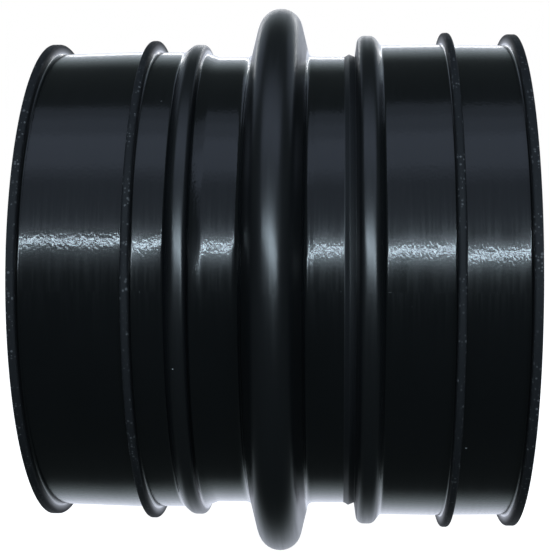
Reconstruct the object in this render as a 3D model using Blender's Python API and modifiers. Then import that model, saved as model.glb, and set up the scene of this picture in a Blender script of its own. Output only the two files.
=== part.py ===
"""A moulded rubber hump coupling: a slip-on sleeve that joins two pipe ends and flexes at one arch.

The wall is laid up in four layers, from the bore outwards: inner tube, inner fabric ply, outer fabric
ply and cover. A steel body ring lies under each rounded bead. The axis is world X, and the origin is
the centre of the bore, half way along. Each layer is one continuous piece on the real sleeve. Here it
is in four nodes, because the two sleeves and the two halves of the arch move.
"""

import math

import bpy

# Every length is in millimetres until it reaches a mesh or a location.
MM = 0.001
SEGMENTS = 32  # facets round the axis, the same for every piece, so that nested layers stay parallel
HALF_LENGTH = 55.6
WALL = 3.6
JOINT_GAP = 0.3  # between two nodes of one layer, end to end

# The arch: a round crown, straight flanks and a fillet at each foot.
WAIST_RADIUS = 54.8
CROWN_RADIUS = 66.3
CROWN_ARC = 5.0
CROWN_STEPS = 3
FOOT_HALF_WIDTH = 7.7
FOOT_FILLET = 1.0
FOOT_STEPS = 2
BEND_AT = 8.1  # the sleeves bend against the arch here, just outside its feet

# Each layer of the wall, as the depths of its two faces below the outside of the plain wall.
LAYER_GAP = 0.1
COVER_DEPTH = 1.4
PLY_THICKNESS = 0.5
OUTER_PLY_DEPTH = COVER_DEPTH + LAYER_GAP
INNER_PLY_DEPTH = OUTER_PLY_DEPTH + PLY_THICKNESS + LAYER_GAP
TUBE_DEPTH = INNER_PLY_DEPTH + PLY_THICKNESS + LAYER_GAP
LAYERS = {
    "inner_tube": (TUBE_DEPTH, WALL),
    "inner_ply": (INNER_PLY_DEPTH, INNER_PLY_DEPTH + PLY_THICKNESS),
    "outer_ply": (OUTER_PLY_DEPTH, OUTER_PLY_DEPTH + PLY_THICKNESS),
    "cover": (0.0, COVER_DEPTH),
}
PLY_SETBACK = 0.4  # the plies end this far inside the end faces

# What differs between the two sleeves. Distances run outwards from the centre of the arch.
SLEEVES = {
    "left": {
        "side": -1,
        "cuff_radius": 56.0,
        "step_start": 14.6,
        "step_end": 16.6,
        "bead_centre": 20.4,
        "bead_radius": 57.85,
        "bead_half_width": 2.6,
        "rib_centre": 30.7,
        "rib_radius": 58.9,
        "lip_radius": 58.15,
    },
    "right": {
        "side": 1,
        "cuff_radius": 57.6,
        "step_start": 16.2,
        "step_end": 18.4,
        "bead_centre": 20.6,
        "bead_radius": 59.75,
        "bead_half_width": 2.8,
        "rib_centre": 39.1,
        "rib_radius": 60.4,
        "lip_radius": 59.95,
    },
}
RIB_WIDTH = 1.8
LIP_WIDTH = 1.9
EDGE = 0.4  # bevel along the crests of the ribs and lips
BEAD_SHOULDER = 0.75  # how far out from a bead's middle its shoulders are, as a share of its half width
BEAD_SHOULDER_RISE = 0.7  # how high those shoulders stand, as a share of its height
BEAD_TOP = 0.3  # half the width of its top, as a share of its half width

# The round steel rings, each lying on the outer ply in a groove inside the cover's bead.
WIRE_RADIUS = 1.2
WIRE_FACETS = 8
WIRE_CLEARANCE = 0.15

# The four bodies, each with the body that it moves against and where that joint is along X.
BODIES = {
    "left_sleeve": (None, 0.0),
    "left_arch": ("left_sleeve", -BEND_AT),
    "right_arch": ("left_arch", 0.0),
    "right_sleeve": ("right_arch", BEND_AT),
}


def material(name, colour, roughness, metallic=0.0):
    made = bpy.data.materials.new(name)
    made.use_nodes = True
    shader = made.node_tree.nodes["Principled BSDF"]
    shader.inputs["Base Color"].default_value = (*colour, 1.0)
    shader.inputs["Roughness"].default_value = roughness
    shader.inputs["Metallic"].default_value = metallic
    return made


def arc(centre, radius, start, end, steps):
    """Points (x, r) along an arc. Angles are in radians, from +x towards +r."""
    turns = [start + (end - start) * i / steps for i in range(steps + 1)]
    return [(centre[0] + radius * math.cos(t), centre[1] + radius * math.sin(t)) for t in turns]


def arch_line(depth):
    """(x, r) along half of the arch at a depth below its outside, from the crown out to the foot.

    The flank touches the crown's arc on one side and the foot's fillet on the other. A deeper layer
    has a smaller arc and a larger fillet about the same two centres, so the layers are parallel.
    """
    crown = (0.0, CROWN_RADIUS - CROWN_ARC)
    foot = (FOOT_HALF_WIDTH, WAIST_RADIUS + FOOT_FILLET)
    away = (foot[0] - crown[0], foot[1] - crown[1])
    normal = math.atan2(away[1], away[0]) + math.acos((CROWN_ARC + FOOT_FILLET) / math.hypot(*away))
    start = math.acos(JOINT_GAP / 2 / (CROWN_ARC - depth))
    line = arc(crown, CROWN_ARC - depth, start, normal, CROWN_STEPS)
    line += arc(foot, FOOT_FILLET + depth, normal + math.pi, 1.5 * math.pi, FOOT_STEPS)
    line.append((BEND_AT - JOINT_GAP / 2, WAIST_RADIUS - depth))
    return line


def sleeve_line(sleeve, depth, end):
    """(x, r) along the plain wall of a sleeve at a depth, from the arch out to its end.

    The step's two corners move outwards with the depth, so that the layers are parallel on it too.
    """
    slope = math.atan2(sleeve["cuff_radius"] - WAIST_RADIUS, sleeve["step_end"] - sleeve["step_start"])
    shift = depth * math.tan(slope / 2)
    return [
        (BEND_AT + JOINT_GAP / 2, WAIST_RADIUS - depth),
        (sleeve["step_start"] + shift, WAIST_RADIUS - depth),
        (sleeve["step_end"] + shift, sleeve["cuff_radius"] - depth),
        (end, sleeve["cuff_radius"] - depth),
    ]


def crest(start, end, foot_radius, top_radius):
    """(x, r) over a rib or a lip: two straight sides and a flat top with bevelled edges."""
    return [
        (start, foot_radius),
        (start, top_radius - EDGE),
        (start + EDGE, top_radius),
        (end - EDGE, top_radius),
        (end, top_radius - EDGE),
    ]


def bead(sleeve, inner_foot):
    """(x, r) over the rounded bead, whose inner foot can stand on the waist and its outer on the cuff."""
    middle = sleeve["bead_centre"]
    half = sleeve["bead_half_width"]
    top = sleeve["bead_radius"]
    cuff = sleeve["cuff_radius"]
    return [
        (middle - half, inner_foot),
        (middle - BEAD_SHOULDER * half, inner_foot + BEAD_SHOULDER_RISE * (top - inner_foot)),
        (middle - BEAD_TOP * half, top),
        (middle + BEAD_TOP * half, top),
        (middle + BEAD_SHOULDER * half, cuff + BEAD_SHOULDER_RISE * (top - cuff)),
        (middle + half, cuff),
    ]


def cover_outside(sleeve):
    """(x, r) along the outside of a sleeve's cover, from the arch out to its end face."""
    start, step_start, step_end, _ = sleeve_line(sleeve, 0.0, HALF_LENGTH)
    cuff = sleeve["cuff_radius"]
    rib_start = sleeve["rib_centre"] - RIB_WIDTH / 2
    rib_end = rib_start + RIB_WIDTH
    line = [start, step_start]
    if sleeve["bead_centre"] - sleeve["bead_half_width"] > sleeve["step_end"]:
        line.append(step_end)
    line += bead(sleeve, line[-1][1])
    line += crest(rib_start, rib_end, cuff, sleeve["rib_radius"])
    line.append((rib_end, cuff))
    line += crest(HALF_LENGTH - LIP_WIDTH, HALF_LENGTH, cuff, sleeve["lip_radius"])
    return line


def wire_centre(sleeve):
    """(x, r) of the middle of a body ring's wire."""
    ply_radius = sleeve["cuff_radius"] - OUTER_PLY_DEPTH
    return sleeve["bead_centre"], ply_radius + WIRE_CLEARANCE + WIRE_RADIUS


def cover_inside(sleeve):
    """(x, r) along the inside of a sleeve's cover, with the groove that holds the body ring."""
    start, step_start, step_end, end = sleeve_line(sleeve, COVER_DEPTH, HALF_LENGTH)
    middle, radius = wire_centre(sleeve)
    half = WIRE_RADIUS + WIRE_CLEARANCE
    corner = half * math.tan(math.pi / 8)  # half a side of the octagon round the wire
    groove = [
        (middle - half, step_end[1]),
        (middle - half, radius + corner),
        (middle - corner, radius + half),
        (middle + corner, radius + half),
        (middle + half, radius + corner),
        (middle + half, step_end[1]),
    ]
    return [start, step_start, step_end] + groove + [end]


def section_between(side, outer, inner):
    """One closed outline (x, r) that runs down its outer side, from high x to low x, and back inside.

    Both lines start at the arch's crown and run outwards, on the positive side.
    """
    outer = [(side * x, r) for x, r in outer]
    inner = [(side * x, r) for x, r in inner]
    if side > 0:
        return outer[::-1] + inner
    return outer + inner[::-1]


def turned(name, section, finish, body, collection):
    """Turns a closed outline (x, r) about world X and hangs it on the empty of its body.

    The outline is drawn with its radius along the object's X and its length along the object's Z. A
    quarter turn about Y then lays the object's Z along world X.
    """
    mesh = bpy.data.meshes.new(name)
    corners = [(r * MM, 0.0, x * MM) for x, r in section]
    edges = [(i, (i + 1) % len(corners)) for i in range(len(corners))]
    mesh.from_pydata(corners, edges, [])
    mesh.materials.append(finish)
    piece = bpy.data.objects.new(name, mesh)
    collection.objects.link(piece)
    screw = piece.modifiers.new("turn", "SCREW")
    screw.axis = "Z"
    screw.angle = 2 * math.pi
    screw.steps = SEGMENTS
    screw.render_steps = SEGMENTS
    screw.use_merge_vertices = True
    screw.merge_threshold = 0.00001
    screw.use_smooth_shade = True
    empty, joint_x = body
    piece.parent = empty
    piece.location.x = -joint_x * MM
    piece.rotation_euler.y = math.pi / 2


def wall_layer(side_name, layer, finish, bodies, collection):
    """One layer of the wall on one side: its half of the arch, and its sleeve."""
    sleeve = SLEEVES[side_name]
    side = sleeve["side"]
    depths = LAYERS[layer]
    if layer == "cover":
        lines = [cover_outside(sleeve), cover_inside(sleeve)]
    else:
        end = HALF_LENGTH if layer == "inner_tube" else HALF_LENGTH - PLY_SETBACK
        lines = [sleeve_line(sleeve, depth, end) for depth in depths]
    arch_lines = [arch_line(depth) for depth in depths]
    on_sleeve = bodies[f"{side_name}_sleeve"]
    on_arch = bodies[f"{side_name}_arch"]
    turned(f"{side_name}_{layer}", section_between(side, *lines), finish, on_sleeve, collection)
    turned(f"{side_name}_arch_{layer}", section_between(side, *arch_lines), finish, on_arch, collection)


def body_ring(side_name, finish, bodies, collection):
    """The round steel ring under a bead."""
    sleeve = SLEEVES[side_name]
    middle, radius = wire_centre(sleeve)
    centre = (sleeve["side"] * middle, radius)
    first = math.pi / WIRE_FACETS
    section = arc(centre, WIRE_RADIUS / math.cos(first), first, first + 2 * math.pi, WIRE_FACETS)[1:]
    turned(f"{side_name}_body_ring", section, finish, bodies[f"{side_name}_sleeve"], collection)


def main():
    for leftover in list(bpy.data.objects):
        bpy.data.objects.remove(leftover)
    collection = bpy.data.collections.new("pipe_coupling")
    bpy.context.scene.collection.children.link(collection)

    bodies = {}
    for name, (parent, joint_x) in BODIES.items():
        empty = bpy.data.objects.new(f"{name}_origin", None)
        collection.objects.link(empty)
        bodies[name] = (empty, joint_x)
        if parent:
            empty.parent, parent_x = bodies[parent]
            empty.location.x = (joint_x - parent_x) * MM

    finishes = {
        "inner_tube": material("bore_rubber", (0.014, 0.014, 0.016), 0.5),
        "inner_ply": material("inner_ply_fabric", (0.42, 0.36, 0.26), 0.9),
        "outer_ply": material("outer_ply_fabric", (0.46, 0.40, 0.30), 0.9),
        "cover": material("cover_rubber", (0.010, 0.011, 0.013), 0.28),
        "body_ring": material("ring_steel", (0.50, 0.50, 0.52), 0.35, metallic=1.0),
    }
    for side_name in SLEEVES:
        for layer in LAYERS:
            wall_layer(side_name, layer, finishes[layer], bodies, collection)
        body_ring(side_name, finishes["body_ring"], bodies, collection)


main()
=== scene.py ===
"""The rubber pipe coupling, finished for a studio picture.

The shape follows the CAD part: four layers of wall, each in a left, a middle and a right span, and two
steel body rings. Lengths are in millimetres until they reach a mesh. Every outline is a list of
corners (x, r, round), from the left end of the sleeve to its right end: x is along the axis, r is the
distance from it, and round is the radius of the arc that rounds the corner off.
"""

import math

import bmesh
import bpy
import numpy as np
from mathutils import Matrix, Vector


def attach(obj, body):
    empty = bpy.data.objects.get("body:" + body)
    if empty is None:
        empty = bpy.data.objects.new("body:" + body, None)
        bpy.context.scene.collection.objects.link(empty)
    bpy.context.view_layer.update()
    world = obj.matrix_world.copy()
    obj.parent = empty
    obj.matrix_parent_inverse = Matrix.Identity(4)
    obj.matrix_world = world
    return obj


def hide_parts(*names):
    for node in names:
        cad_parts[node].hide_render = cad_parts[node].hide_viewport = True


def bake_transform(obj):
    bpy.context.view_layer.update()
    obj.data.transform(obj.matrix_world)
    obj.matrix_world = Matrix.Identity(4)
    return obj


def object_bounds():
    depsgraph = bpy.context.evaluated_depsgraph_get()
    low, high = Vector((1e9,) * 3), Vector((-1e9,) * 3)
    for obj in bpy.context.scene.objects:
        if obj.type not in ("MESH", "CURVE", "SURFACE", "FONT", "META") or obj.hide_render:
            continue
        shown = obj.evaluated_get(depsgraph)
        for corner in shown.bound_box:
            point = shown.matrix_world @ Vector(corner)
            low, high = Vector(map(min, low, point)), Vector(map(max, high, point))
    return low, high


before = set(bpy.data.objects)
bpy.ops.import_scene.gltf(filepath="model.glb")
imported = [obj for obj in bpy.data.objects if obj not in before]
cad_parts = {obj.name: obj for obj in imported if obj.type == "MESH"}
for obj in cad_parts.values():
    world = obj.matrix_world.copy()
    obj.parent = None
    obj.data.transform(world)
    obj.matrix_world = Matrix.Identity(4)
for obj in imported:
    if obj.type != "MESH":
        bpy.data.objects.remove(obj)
cad_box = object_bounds()

MM = 0.001

# ---------------------------------------------------------------- the outlines

HALF_LENGTH = 55.6
WALL = 3.6
LAYER_GAP = 0.1
COVER_DEPTH = 1.4
PLY_THICKNESS = 0.5
OUTER_PLY_DEPTH = COVER_DEPTH + LAYER_GAP
INNER_PLY_DEPTH = OUTER_PLY_DEPTH + PLY_THICKNESS + LAYER_GAP
TUBE_DEPTH = INNER_PLY_DEPTH + PLY_THICKNESS + LAYER_GAP
PLY_SETBACK = 0.4

# The outside of the wall without its ribs, lips and beads.
PLAIN_WALL = [
    (-HALF_LENGTH, 56.0, 0.0),
    (-16.8, 56.0, 3.0),
    (-14.4, 54.8, 2.5),
    (-6.9, 54.8, 1.0),
    (-3.86, 66.3, 5.0),
    (3.86, 66.3, 5.0),
    (6.9, 54.8, 1.0),
    (16.0, 54.8, 2.5),
    (18.6, 57.6, 3.0),
    (HALF_LENGTH, 57.6, 0.0),
]

# The outside of the cover, with them.
COVER = [
    (-HALF_LENGTH, 58.15, 0.55),
    (-53.8, 58.15, 0.55),
    (-53.8, 55.7, 0.4),
    (-31.6, 56.3, 0.4),
    (-31.6, 58.9, 0.6),
    (-29.8, 58.9, 0.6),
    (-29.8, 56.1, 0.4),
    (-23.1, 56.1, 1.0),
    (-21.0, 57.9, 2.0),
    (-18.2, 57.9, 1.15),
    (-17.85, 55.8, 0.7),
    (-15.2, 54.8, 1.2),
    (-7.0, 54.8, 2.1),
    (-4.0, 66.3, 4.9),
    (3.9, 66.3, 4.9),
    (6.6, 54.9, 1.3),
    (7.8, 54.9, 0.3),
    (8.6, 54.8, 0.3),
    (15.2, 54.8, 0.7),
    (16.2, 55.4, 0.15),
    (17.6, 54.8, 0.1),
    (18.3, 59.8, 1.75),
    (22.0, 59.8, 1.9),
    (23.8, 57.5, 0.8),
    (38.3, 57.6, 0.4),
    (38.3, 60.4, 0.6),
    (40.1, 60.4, 0.6),
    (40.1, 57.5, 0.4),
    (53.7, 57.3, 0.4),
    (53.7, 59.95, 0.55),
    (HALF_LENGTH, 59.95, 0.55),
]

# The rings in the beads, as (x of the middle, radius of the plain wall there), and the groove round
# each in the cover.
RINGS = {"left": (-20.4, 56.0), "right": (20.6, 57.6)}
WIRE_RADIUS = 1.2
WIRE_CLEARANCE = 0.15
WIRE_SEGMENTS = 24
GROOVE_FOOT = 0.1  # how round the groove's foot is
GROOVE_TOP = 1.2  # how round its top is
BESIDE_GROOVE = 18.9  # a corner of the plain wall this far out is beside a groove

MATT_RISE = 0.4  # the radius over which the matt skin comes in
SOFT = 0.2  # how matt the beads and the arch are: from here up the skin has no glossy coat

# Where the skin is matt: the ribs and lips that clamps and hands rub, less so the beads and the arch,
# and the valley at the foot of the right bead. (from, to, lowest radius, how much)
MATT = [
    (-56.0, -53.6, 56.1, 1.0),
    (-31.8, -29.6, 56.6, 1.0),
    (-23.0, -18.0, 56.4, SOFT),
    (-7.0, 7.0, 56.4, SOFT),
    (15.1, 18.2, 50.0, 0.5),
    (18.0, 23.5, 57.9, SOFT),
    (38.0, 40.3, 57.9, 1.0),
    (53.5, 56.0, 57.7, 1.0),
]

# Where the spans meet, and where the wall bends or squeezes, as distances from the arch's middle.
SEAM = 7.7
FLEX_START = 8.0
FLEX_END = 15.0
ARCH_FLEX = 7.0

# How finely the outlines and the turns are divided.
TURN_SEGMENTS = 256
ARC_STEP = math.radians(12)
FINE_STEP = 0.8
COARSE_STEP = 6.0
SHARP_ANGLE = math.radians(40)
MIDDLE_RADIUS = 0.055  # m, the radius that distances round the wall are measured at


def turn_at(before, corner, after):
    """The two directions at a corner, and the angle between them: positive in a valley."""
    arriving = (Vector(corner[:2]) - Vector(before[:2])).normalized()
    leaving = (Vector(after[:2]) - Vector(corner[:2])).normalized()
    return arriving, leaving, leaving.angle_signed(arriving)


def rounded(corners):
    """The points (x, r) of an outline, with an arc in place of each rounded corner."""
    line = [corners[0][:2]]
    for before, corner, after in zip(corners, corners[1:], corners[2:]):
        arriving, leaving, turn = turn_at(before, corner, after)
        tangent = corner[2] * math.tan(abs(turn) / 2)
        if tangent < 1e-6:
            line.append(corner[:2])
            continue
        start = Vector(corner[:2]) - arriving * tangent
        across = Vector((-arriving.y, arriving.x)) * math.copysign(corner[2], turn)
        steps = max(2, math.ceil(abs(turn) / ARC_STEP))
        for i in range(steps + 1):
            swept = abs(turn) * i / steps
            point = start + across * (1 - math.cos(swept)) + arriving * corner[2] * math.sin(swept)
            line.append(tuple(point))
    line.append(corners[-1][:2])
    return line


def inset(corners, depth):
    """The same outline at a depth below it. Each arc keeps its centre, so the two stay parallel."""
    moved = []
    for i, corner in enumerate(corners):
        before = corners[max(i - 1, 0)]
        after = corners[min(i + 1, len(corners) - 1)]
        if corner is corners[0] or corner is corners[-1]:
            moved.append((corner[0], corner[1] - depth, 0.0))
            continue
        arriving, leaving, turn = turn_at(before, corner, after)
        middle = (arriving + leaving).normalized()
        down = Vector((middle.y, -middle.x)) * depth / math.cos(turn / 2)
        arc = corner[2] + depth if turn > 0 else corner[2] - depth
        moved.append((corner[0] + down.x, corner[1] + down.y, max(arc, 0.0)))
    return moved


def between(line, low, high):
    """The part of an outline from x = low to x = high, cut at both."""
    kept = []
    for (x0, r0), (x1, r1) in zip(line, line[1:]):
        if x1 <= low or x0 >= high:
            continue
        for x, r in ((x0, r0), (x1, r1)):
            if x < low or x > high:
                cut = low if x < low else high
                r = r0 + (r1 - r0) * (cut - x0) / (x1 - x0)
                x = cut
            if not kept or math.dist(kept[-1], (x, r)) > 1e-5:
                kept.append((x, r))
    return kept


def subdivided(line):
    """Extra points on the long straights, closer together where the wall flexes."""
    fuller = [line[0]]
    for (x0, r0), (x1, r1) in zip(line, line[1:]):
        flexes = min(abs(x0), abs(x1)) < FLEX_END
        steps = math.ceil(math.dist((x0, r0), (x1, r1)) / (FINE_STEP if flexes else COARSE_STEP))
        for i in range(1, steps + 1):
            fuller.append((x0 + (x1 - x0) * i / steps, r0 + (r1 - r0) * i / steps))
    return fuller


# ---------------------------------------------------------------- meshes


def turned(name, section, finish):
    """A closed outline (x, r) turned about X into a solid ring."""
    x, r = (np.array(column) * MM for column in zip(*section))
    angle = np.arange(TURN_SEGMENTS) * 2 * math.pi / TURN_SEGMENTS
    points = np.empty((TURN_SEGMENTS, len(section), 3))
    points[:, :, 0] = x
    points[:, :, 1] = np.cos(angle)[:, None] * r
    points[:, :, 2] = np.sin(angle)[:, None] * r
    index = np.arange(TURN_SEGMENTS * len(section)).reshape(TURN_SEGMENTS, len(section))
    along = np.roll(index, -1, axis=1)
    round_ = np.roll(index, -1, axis=0)
    both = np.roll(along, -1, axis=0)
    quads = np.stack([index, along, both, round_], axis=-1).reshape(-1, 4)

    mesh = bpy.data.meshes.new(name)
    mesh.from_pydata(points.reshape(-1, 3).tolist(), [], quads.tolist())
    builder = bmesh.new()
    builder.from_mesh(mesh)
    bmesh.ops.recalc_face_normals(builder, faces=builder.faces)
    builder.to_mesh(mesh)
    builder.free()
    mesh.shade_smooth()
    mesh.set_sharp_from_angle(angle=SHARP_ANGLE)
    mesh.materials.append(finish)
    piece = bpy.data.objects.new(name, mesh)
    bpy.context.scene.collection.objects.link(piece)
    return piece


def mark_matt(piece):
    """Writes how matt each point of the cover is, for its material to read."""
    count = len(piece.data.vertices)
    places = np.empty(count * 3)
    piece.data.vertices.foreach_get("co", places)
    places = places.reshape(-1, 3) / MM
    radius = np.hypot(places[:, 1], places[:, 2])
    matt = np.zeros(count)
    for start, end, lowest, amount in MATT:
        inside = (places[:, 0] > start) & (places[:, 0] < end)
        rise = np.clip((radius - lowest) / MATT_RISE, 0, 1)
        matt = np.maximum(matt, inside * rise * amount)
    layer = piece.data.attributes.new("matt", "FLOAT", "POINT")
    layer.data.foreach_set("value", matt.astype(np.float32))


# ---------------------------------------------------------------- materials

# Colours, as linear red, green, blue and alpha.
WHITE = (1.0, 1.0, 1.0, 1.0)
RUBBER_DEEP = (0.0030, 0.0036, 0.0042, 1.0)
RUBBER_CLOUD = (0.0062, 0.0070, 0.0080, 1.0)
RUBBER_RUBBED = (0.0200, 0.0212, 0.0236, 1.0)
CHALK = (0.13, 0.132, 0.138, 1.0)
DUST = (0.50, 0.51, 0.52, 1.0)
BORE_DEEP = (0.0075, 0.0078, 0.0085, 1.0)
BORE_CLOUD = (0.017, 0.0175, 0.0185, 1.0)
OUTER_WARP = (0.50, 0.45, 0.34, 1.0)
OUTER_WEFT = (0.38, 0.33, 0.24, 1.0)
INNER_WARP = (0.46, 0.41, 0.30, 1.0)
INNER_WEFT = (0.34, 0.29, 0.21, 1.0)
FIBRE_DARK = (0.05, 0.045, 0.04, 1.0)
STEEL_DARK = (0.36, 0.36, 0.37, 1.0)
STEEL_LIGHT = (0.60, 0.60, 0.61, 1.0)
PAPER_DARK = (0.80, 0.80, 0.80, 1.0)
PAPER_LIGHT = (0.84, 0.84, 0.84, 1.0)
STUDIO_TINT = (0.78, 0.97, 1.0, 1.0)
BACKDROP_TINT = (0.90, 0.95, 1.10, 1.0)

THREAD_PITCH = 0.0011  # m, from one thread of the cloth to the next


class Nodes:
    """A short way to add and join the nodes of a material or of the world."""

    def __init__(self, owner):
        owner.use_nodes = True
        self.owner = owner
        self.tree = owner.node_tree

    def look(self, **inputs):
        """Joins values to the material's shader, and gives back the material."""
        shader = self.tree.nodes["Principled BSDF"]
        for key, value in inputs.items():
            self.join(value, shader.inputs[key.replace("_", " ")])
        return self.owner

    def add(self, kind, settings=None, **inputs):
        node = self.tree.nodes.new(f"ShaderNode{kind}")
        for key, value in (settings or {}).items():
            setattr(node, key, value)
        for key, value in inputs.items():
            self.join(value, node.inputs[key.replace("_", " ")])
        return node

    def join(self, value, socket):
        if isinstance(value, bpy.types.NodeSocket):
            self.tree.links.new(value, socket)
        else:
            socket.default_value = value

    def maths(self, operation, *values):
        node = self.add("Math", {"operation": operation})
        for value, socket in zip(values, node.inputs):
            self.join(value, socket)
        return node.outputs[0]

    def mix(self, factor, low, high):
        """A number between low and high."""
        node = self.add("Mix", {"data_type": "FLOAT"})
        for value, socket in zip((factor, low, high), node.inputs[0:1] + node.inputs[2:4]):
            self.join(value, socket)
        return node.outputs[0]

    def mix_colour(self, factor, low, high):
        node = self.add("Mix", {"data_type": "RGBA"})
        for value, socket in zip((factor, low, high), (node.inputs[0], node.inputs[6], node.inputs[7])):
            self.join(value, socket)
        return node.outputs[2]

    def ramp(self, value, low, high):
        """0 below low and 1 above high, smooth in between."""
        node = self.add("MapRange", {"interpolation_type": "SMOOTHSTEP"})
        for given, socket in zip((value, low, high), node.inputs):
            self.join(given, socket)
        return node.outputs[0]

    def noise(self, place, scale, detail=2.0, roughness=0.5):
        node = self.add("TexNoise", Vector=place, Scale=scale, Detail=detail, Roughness=roughness)
        return node.outputs[0]

    def specks(self, place, scale, size, rarity):
        """1 in small round specks, in the few cells whose random number is above rarity."""
        node = self.add("TexVoronoi", Vector=place, Scale=scale)
        chance = self.add("SeparateColor", Color=node.outputs["Color"])
        chosen = self.ramp(chance.outputs["Red"], rarity, rarity + 0.01)
        reach = self.mix(chance.outputs["Green"], size * 0.5, size * 1.5)
        edge = self.maths("MULTIPLY", reach, 0.5)
        return self.maths("MULTIPLY", chosen, self.ramp(node.outputs["Distance"], reach, edge))

    def bump(self, height, strength, distance, normal=None):
        node = self.add("Bump", Height=height, Strength=strength, Distance=distance)
        if normal is not None:
            self.join(normal, node.inputs["Normal"])
        return node.outputs[0]

    def place(self):
        return self.add("TexCoord").outputs["Object"]

    def wrapped(self):
        """(distance along the axis, distance round it, 0), in metres."""
        split = self.add("SeparateXYZ", Vector=self.place())
        turn = self.maths("ARCTAN2", split.outputs["Z"], split.outputs["Y"])
        round_ = self.maths("MULTIPLY", turn, MIDDLE_RADIUS)
        return self.add("CombineXYZ", X=split.outputs["X"], Y=round_).outputs[0]

    def stretched(self, place, x, y, z):
        node = self.add("VectorMath", {"operation": "MULTIPLY"})
        self.join(place, node.inputs[0])
        node.inputs[1].default_value = (x, y, z)
        return node.outputs[0]


def new_material(name):
    return Nodes(bpy.data.materials.new(name))


def cover_rubber():
    """Glossy moulded black rubber: fine pits, a little dust, and matt grey on the rubbed crests.

    The gloss is two layers. The coat is the sharp one, broken up by the pits, and ends where the skin
    turns matt. The base under it is the soft one.
    """
    n = new_material("cover_rubber")
    place = n.place()
    matt = n.add("Attribute", {"attribute_name": "matt"}).outputs["Fac"]
    coatless = n.ramp(matt, 0.0, SOFT)
    grain = n.noise(place, 1500.0, 3.0, 0.6)
    pits = n.noise(n.stretched(n.wrapped(), 2400.0, 1300.0, 1.0), 1.0, 1.0, 0.5)
    swell = n.noise(place, 70.0, 2.0, 0.5)
    cloud = n.noise(place, 38.0, 4.0, 0.6)
    streaks = n.noise(n.stretched(n.wrapped(), 1300.0, 45.0, 1.0), 1.0, 3.0, 0.6)

    worn = n.mix_colour(matt, n.mix_colour(cloud, RUBBER_DEEP, RUBBER_CLOUD), RUBBER_RUBBED)
    patches = n.ramp(n.noise(place, 260.0, 3.0, 0.6), 0.36, 0.62)
    chalk = n.maths("MULTIPLY", n.specks(place, 1500.0, 0.40, 0.55), n.ramp(matt, 0.5, 1.0))
    chalky = n.mix_colour(n.maths("MULTIPLY", chalk, patches), worn, CHALK)
    dust = n.specks(place, 240.0, 0.05, 0.90)

    uneven = n.ramp(cloud, 0.35, 0.70)
    base_gloss = n.mix(n.ramp(streaks, 0.35, 0.70), 0.20, 0.26)
    normal = n.bump(swell, 0.3, 0.00012)
    return n.look(
        Base_Color=n.mix_colour(n.maths("MULTIPLY", dust, 0.7), chalky, DUST),
        Roughness=n.mix(matt, base_gloss, 0.58),
        IOR=1.5,
        Specular_IOR_Level=n.mix(coatless, 0.27, n.mix(matt, 1.0, 0.12)),
        Coat_Weight=n.mix(coatless, 0.93, 0.0),
        Coat_Roughness=n.mix(uneven, 0.08, 0.10),
        Coat_Normal=n.bump(pits, 1.0, 0.000028, normal),
        Normal=n.bump(grain, n.mix(matt, 0.15, 0.9), 0.00003, normal),
    )


def bore_rubber():
    """Satin black rubber, with the faint lengthwise drag marks that the mandrel leaves."""
    n = new_material("bore_rubber")
    drag = n.noise(n.stretched(n.wrapped(), 12.0, 420.0, 1.0), 1.0, 3.0, 0.65)
    grain = n.noise(n.place(), 900.0, 3.0, 0.6)
    cloud = n.noise(n.place(), 45.0, 3.0, 0.55)
    return n.look(
        Base_Color=n.mix_colour(cloud, BORE_DEEP, BORE_CLOUD),
        Roughness=n.mix(drag, 0.38, 0.58),
        Normal=n.bump(grain, 0.35, 0.00003, n.bump(drag, 0.35, 0.00003)),
    )


def ply_fabric(name, warp, weft):
    """Woven cloth in rubber. Its threads run at 45 degrees to the axis."""
    n = new_material(name)
    split = n.add("SeparateXYZ", Vector=n.wrapped())
    across = n.maths("ADD", split.outputs["X"], split.outputs["Y"])
    along = n.maths("SUBTRACT", split.outputs["X"], split.outputs["Y"])
    turns = 2 * math.pi / THREAD_PITCH
    one = n.maths("SINE", n.maths("MULTIPLY", across, turns))
    other = n.maths("SINE", n.maths("MULTIPLY", along, turns))
    over = n.maths("MULTIPLY_ADD", n.maths("MULTIPLY", one, other), 0.5, 0.5)
    fibre = n.noise(n.place(), 2600.0, 3.0, 0.7)
    return n.look(
        Base_Color=n.mix_colour(n.ramp(fibre, 0.3, 0.8), n.mix_colour(over, warp, weft), FIBRE_DARK),
        Roughness=n.mix(fibre, 0.75, 0.95),
        Normal=n.bump(fibre, 0.4, 0.00004, n.bump(over, 0.8, 0.00012)),
    )


def ring_steel():
    """Drawn spring wire, with fine marks round its length."""
    n = new_material("ring_steel")
    drawn = n.noise(n.stretched(n.wrapped(), 3000.0, 60.0, 1.0), 1.0, 3.0, 0.6)
    return n.look(
        Base_Color=n.mix_colour(drawn, STEEL_DARK, STEEL_LIGHT),
        Metallic=1.0,
        Roughness=n.mix(drawn, 0.25, 0.42),
        Normal=n.bump(drawn, 0.3, 0.00002),
    )


# ---------------------------------------------------------------- the pieces


def groove(ring):
    """Corners of the groove round a ring, cut up into the cover from its inside."""
    middle, wall_radius = ring
    low = wall_radius - COVER_DEPTH
    radius = wall_radius - OUTER_PLY_DEPTH + WIRE_CLEARANCE + WIRE_RADIUS
    half = WIRE_RADIUS + WIRE_CLEARANCE
    return [
        (middle - half, low, GROOVE_FOOT),
        (middle - half, radius + half, GROOVE_TOP),
        (middle + half, radius + half, GROOVE_TOP),
        (middle + half, low, GROOVE_FOOT),
    ]


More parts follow.
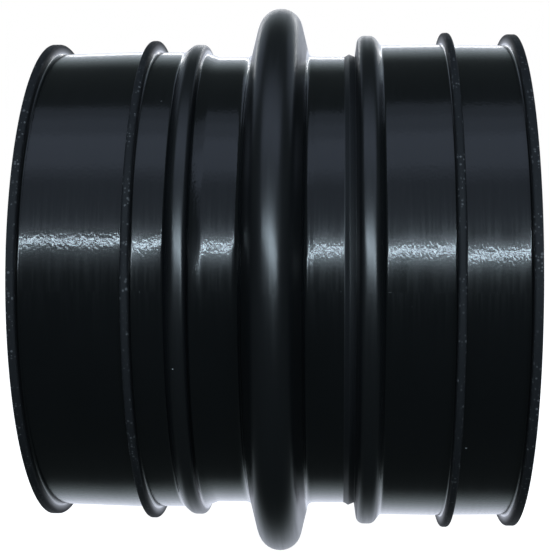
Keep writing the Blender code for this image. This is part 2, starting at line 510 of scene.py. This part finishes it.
def cover_inside():
    """The inside of the cover. Its grooves take the place of the corner of the plain wall beside them."""
    first, *middle, last = inset(PLAIN_WALL, COVER_DEPTH)
    kept = [corner for corner in middle if abs(corner[0]) < BESIDE_GROOVE]
    return [first] + groove(RINGS["left"]) + kept + groove(RINGS["right"]) + [last]


def span_section(outer, inner, low, high):
    """The closed outline of a layer between two places along the axis."""
    top = subdivided(between(outer, low, high))
    bottom = subdivided(between(inner, low, high))
    return top + bottom[::-1]


def make_layer(layer, finish, outer, inner, setback=0.0):
    """One layer of the wall in its three spans, each in place of its CAD nodes."""
    end = HALF_LENGTH - setback
    # side, from, to, the two bodies, where it starts and stops flexing, and the CAD nodes it replaces
    spans = (
        ("left", -end, -SEAM, "left_sleeve", "left_arch", -FLEX_END, -FLEX_START, (f"left_{layer}",)),
        ("arch", -SEAM, SEAM, "left_arch", "right_arch", -ARCH_FLEX, ARCH_FLEX,
         (f"left_arch_{layer}", f"right_arch_{layer}")),
        ("right", SEAM, end, "right_arch", "right_sleeve", FLEX_START, FLEX_END, (f"right_{layer}",)),
    )
    for side, low, high, first, second, start, stop, nodes in spans:
        piece = turned(f"{side}_{layer}_wall", span_section(outer, inner, low, high), finish)
        if layer == "cover":
            mark_matt(piece)
        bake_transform(piece)
        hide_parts(*nodes)


def make_ring(side, finish):
    """The round wire of one body ring."""
    middle, wall_radius = RINGS[side]
    radius = wall_radius - OUTER_PLY_DEPTH + WIRE_CLEARANCE + WIRE_RADIUS
    turns = [2 * math.pi * i / WIRE_SEGMENTS for i in range(WIRE_SEGMENTS)]
    section = [(middle + WIRE_RADIUS * math.cos(t), radius + WIRE_RADIUS * math.sin(t)) for t in turns]
    piece = turned(f"{side}_body_ring_wire", section, finish)
    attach(piece, f"{side}_sleeve")
    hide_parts(f"{side}_body_ring")


make_layer("cover", cover_rubber(), rounded(COVER), rounded(cover_inside()))
make_layer(
    "outer_ply",
    ply_fabric("outer_ply_fabric", OUTER_WARP, OUTER_WEFT),
    rounded(inset(PLAIN_WALL, OUTER_PLY_DEPTH)),
    rounded(inset(PLAIN_WALL, OUTER_PLY_DEPTH + PLY_THICKNESS)),
    PLY_SETBACK,
)
make_layer(
    "inner_ply",
    ply_fabric("inner_ply_fabric", INNER_WARP, INNER_WEFT),
    rounded(inset(PLAIN_WALL, INNER_PLY_DEPTH)),
    rounded(inset(PLAIN_WALL, INNER_PLY_DEPTH + PLY_THICKNESS)),
    PLY_SETBACK,
)
make_layer(
    "inner_tube",
    bore_rubber(),
    rounded(inset(PLAIN_WALL, TUBE_DEPTH)),
    rounded(inset(PLAIN_WALL, WALL)),
)
steel = ring_steel()
for side in RINGS:
    make_ring(side, steel)

# ---------------------------------------------------------------- stage, light and camera

# The camera's and the lights' places are in metres, round the object's origin.
CAMERA_PLACE = (0.01402, -0.3330, 0.01549)
CAMERA_PITCH = math.radians(87.505)
CAMERA_TURN = math.radians(2.745)
LENS = 87.2

SKY = (0.64, 0.76, 1.0, 1.0)
STRIP = (0.72, 0.88, 1.0, 1.0)
LIGHT_LEFT = -0.05
LIGHT_LENGTH = 1.4

# The narrow slanting light is one long strip, with two shorter ones over it where it is brighter:
# (name, left end, right end, radiance).
STRIP_PLACE = (LIGHT_LEFT, -1.0, 0.307)
STRIP_HEIGHT = 0.022
STRIP_ROLL = math.radians(-12)
STRIP_PIECES = [
    ("strip", -0.65, 0.65, 35.0),
    ("strip_right", -0.14, 0.65, 60.0),
    ("strip_middle", -0.10, 0.10, 36.0),
]

# Soft panels, by their height above the horizon in degrees: (name, low, high, radiance).
OVERHEAD_PANELS = [
    ("strip_glow", 8, 28, 0.08),
    ("overhead_wide", 26, 92, 0.26),
    ("overhead_middle", 50, 84, 0.15),
    ("overhead_core", 55, 74, 0.21),
]

BRIGHTEST_WAY = (0.0, 0.99, -0.14)  # from the object to the brightest part of what it reflects


def make_floor():
    """A plain pale floor, kept out of reflections so that the rubber underneath stays dark."""
    bpy.ops.mesh.primitive_plane_add(size=6.0, location=(0, 0, cad_box[0][2] - 0.0002))
    floor = bpy.context.object
    floor.name = "floor"
    n = new_material("floor_paper")
    shade = n.mix_colour(n.noise(n.place(), 40.0), PAPER_DARK, PAPER_LIGHT)
    floor.data.materials.append(
        n.look(Base_Color=shade, Roughness=0.9, Emission_Color=WHITE, Emission_Strength=1.0)
    )
    floor.visible_glossy = False
    floor.visible_diffuse = False


def area_light(name, place, size, radiance, colour=WHITE, roll=0.0, slide=0.0):
    """A rectangular light that faces the object, as bright as its radiance says. It is rolled about
    its own middle, then slid along its length."""
    data = bpy.data.lights.new(name, "AREA")
    data.shape = "RECTANGLE"
    data.size, data.size_y = size
    data.energy = radiance * math.pi * size[0] * size[1]
    data.color = colour[:3]
    light = bpy.data.objects.new(name, data)
    light.location = place
    light.rotation_euler = (-Vector(place)).to_track_quat("-Z", "Y").to_euler()
    light.rotation_euler.rotate_axis("Z", roll)
    light.location += light.rotation_euler.to_matrix() @ Vector((slide, 0.0, 0.0))
    light.visible_camera = False
    bpy.context.scene.collection.objects.link(light)


def make_world():
    """White behind the object. In reflections, a dim studio: a little brighter above, and white close
    round the way straight behind, so that only the object's upper and lower edges pick it up."""
    world = bpy.data.worlds.new("studio")
    bpy.context.scene.world = world
    n = Nodes(world)
    way = n.add("TexCoord").outputs["Generated"]
    height = n.add("SeparateXYZ", Vector=way).outputs["Z"]
    studio = n.mix(n.ramp(height, -0.2, 0.4), 0.038, 0.052)
    towards = n.add("VectorMath", {"operation": "DOT_PRODUCT"})
    n.join(way, towards.inputs[0])
    n.join(BRIGHTEST_WAY, towards.inputs[1])
    backdrop = n.maths("MULTIPLY", n.ramp(towards.outputs["Value"], 0.53, 0.99), 0.95)
    seen = n.add("LightPath").outputs["Is Camera Ray"]
    background = n.tree.nodes["Background"]
    reflected = n.mix_colour(backdrop, STUDIO_TINT, BACKDROP_TINT)
    n.join(n.mix_colour(seen, reflected, WHITE), background.inputs["Color"])
    n.join(n.mix(seen, n.maths("ADD", studio, backdrop), 1.0), background.inputs["Strength"])


def make_camera():
    data = bpy.data.cameras.new("camera")
    data.lens = LENS
    data.sensor_width = 36.0
    camera = bpy.data.objects.new("camera", data)
    camera.location = CAMERA_PLACE
    camera.rotation_euler = (CAMERA_PITCH, 0.0, CAMERA_TURN)
    bpy.context.scene.collection.objects.link(camera)
    bpy.context.scene.camera = camera


def overhead_panel(name, low, high, radiance):
    """A soft light 1 m away that spans these degrees of height above the horizon in front."""
    middle = math.radians((low + high) / 2)
    tall = 2 * math.tan(math.radians(high - low) / 2)
    place = (LIGHT_LEFT, -math.cos(middle), math.sin(middle))
    area_light(name, place, (LIGHT_LENGTH, tall), radiance, SKY)


def strip_piece(name, left, right, radiance):
    """A length of the narrow slanting light, between two distances along it from its middle."""
    middle = (left + right) / 2
    area_light(name, STRIP_PLACE, (right - left, STRIP_HEIGHT), radiance, STRIP, STRIP_ROLL, middle)


make_floor()
make_world()
make_camera()
for piece in STRIP_PIECES:
    strip_piece(*piece)
for panel in OVERHEAD_PANELS:
    overhead_panel(*panel)
area_light("back_strip", (0.0, 1.0, 0.42), (LIGHT_LENGTH, 0.05), 3.0)
area_light("left_soft", (-1.0, 0.9, 0.9), (0.9, 0.9), 0.25, SKY)
area_light("right_soft", (1.0, 0.9, 0.9), (0.9, 0.9), 0.25, SKY)
bpy.context.scene.view_settings.view_transform = "Standard"
